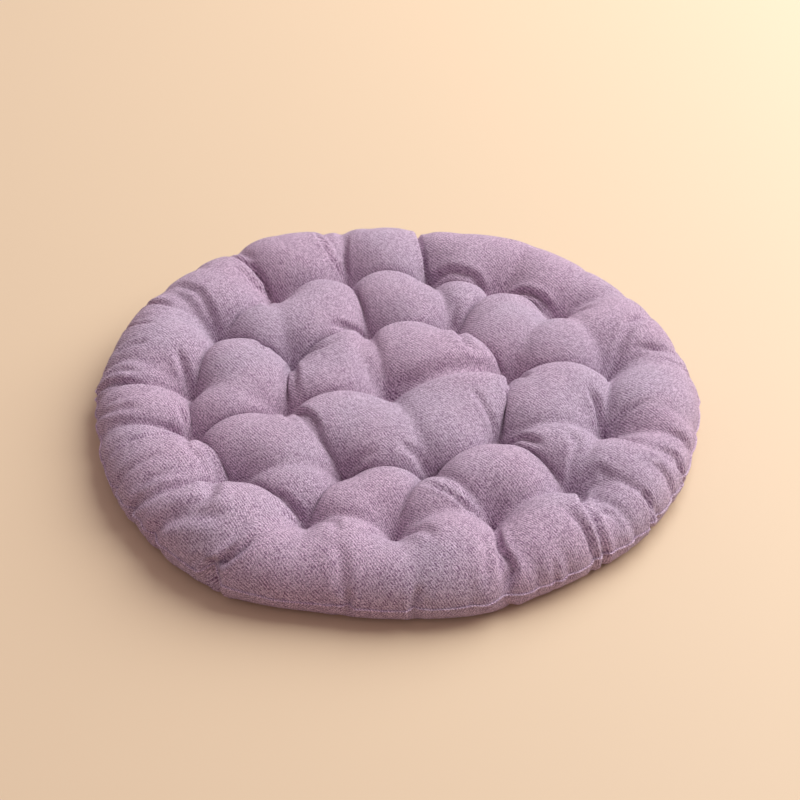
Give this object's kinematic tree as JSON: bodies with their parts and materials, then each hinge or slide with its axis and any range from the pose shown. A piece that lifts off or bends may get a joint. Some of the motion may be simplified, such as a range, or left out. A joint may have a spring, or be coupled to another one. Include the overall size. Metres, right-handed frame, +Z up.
{
  "type": "round tufted floor cushion",
  "caption": "Round floor cushion of woven cloth, puffed between thread ties that draw it in, with a plain sewn edge and a base that rests flat.",
  "frame": {"origin": "on the floor, below the middle of the cushion's bounding box", "axes": "+Z up through the cushion's thickness; +X to the right and +Y to the back as it lies, with -Y at the near edge"},
  "size_m": [0.5122, 0.4882, 0.0541],
  "materials": {
    "fabric": "matt heathered linen-look weave"
  },
  "bodies": {
    "root": {"cushion": "fabric"}
  },
  "joints": []
}
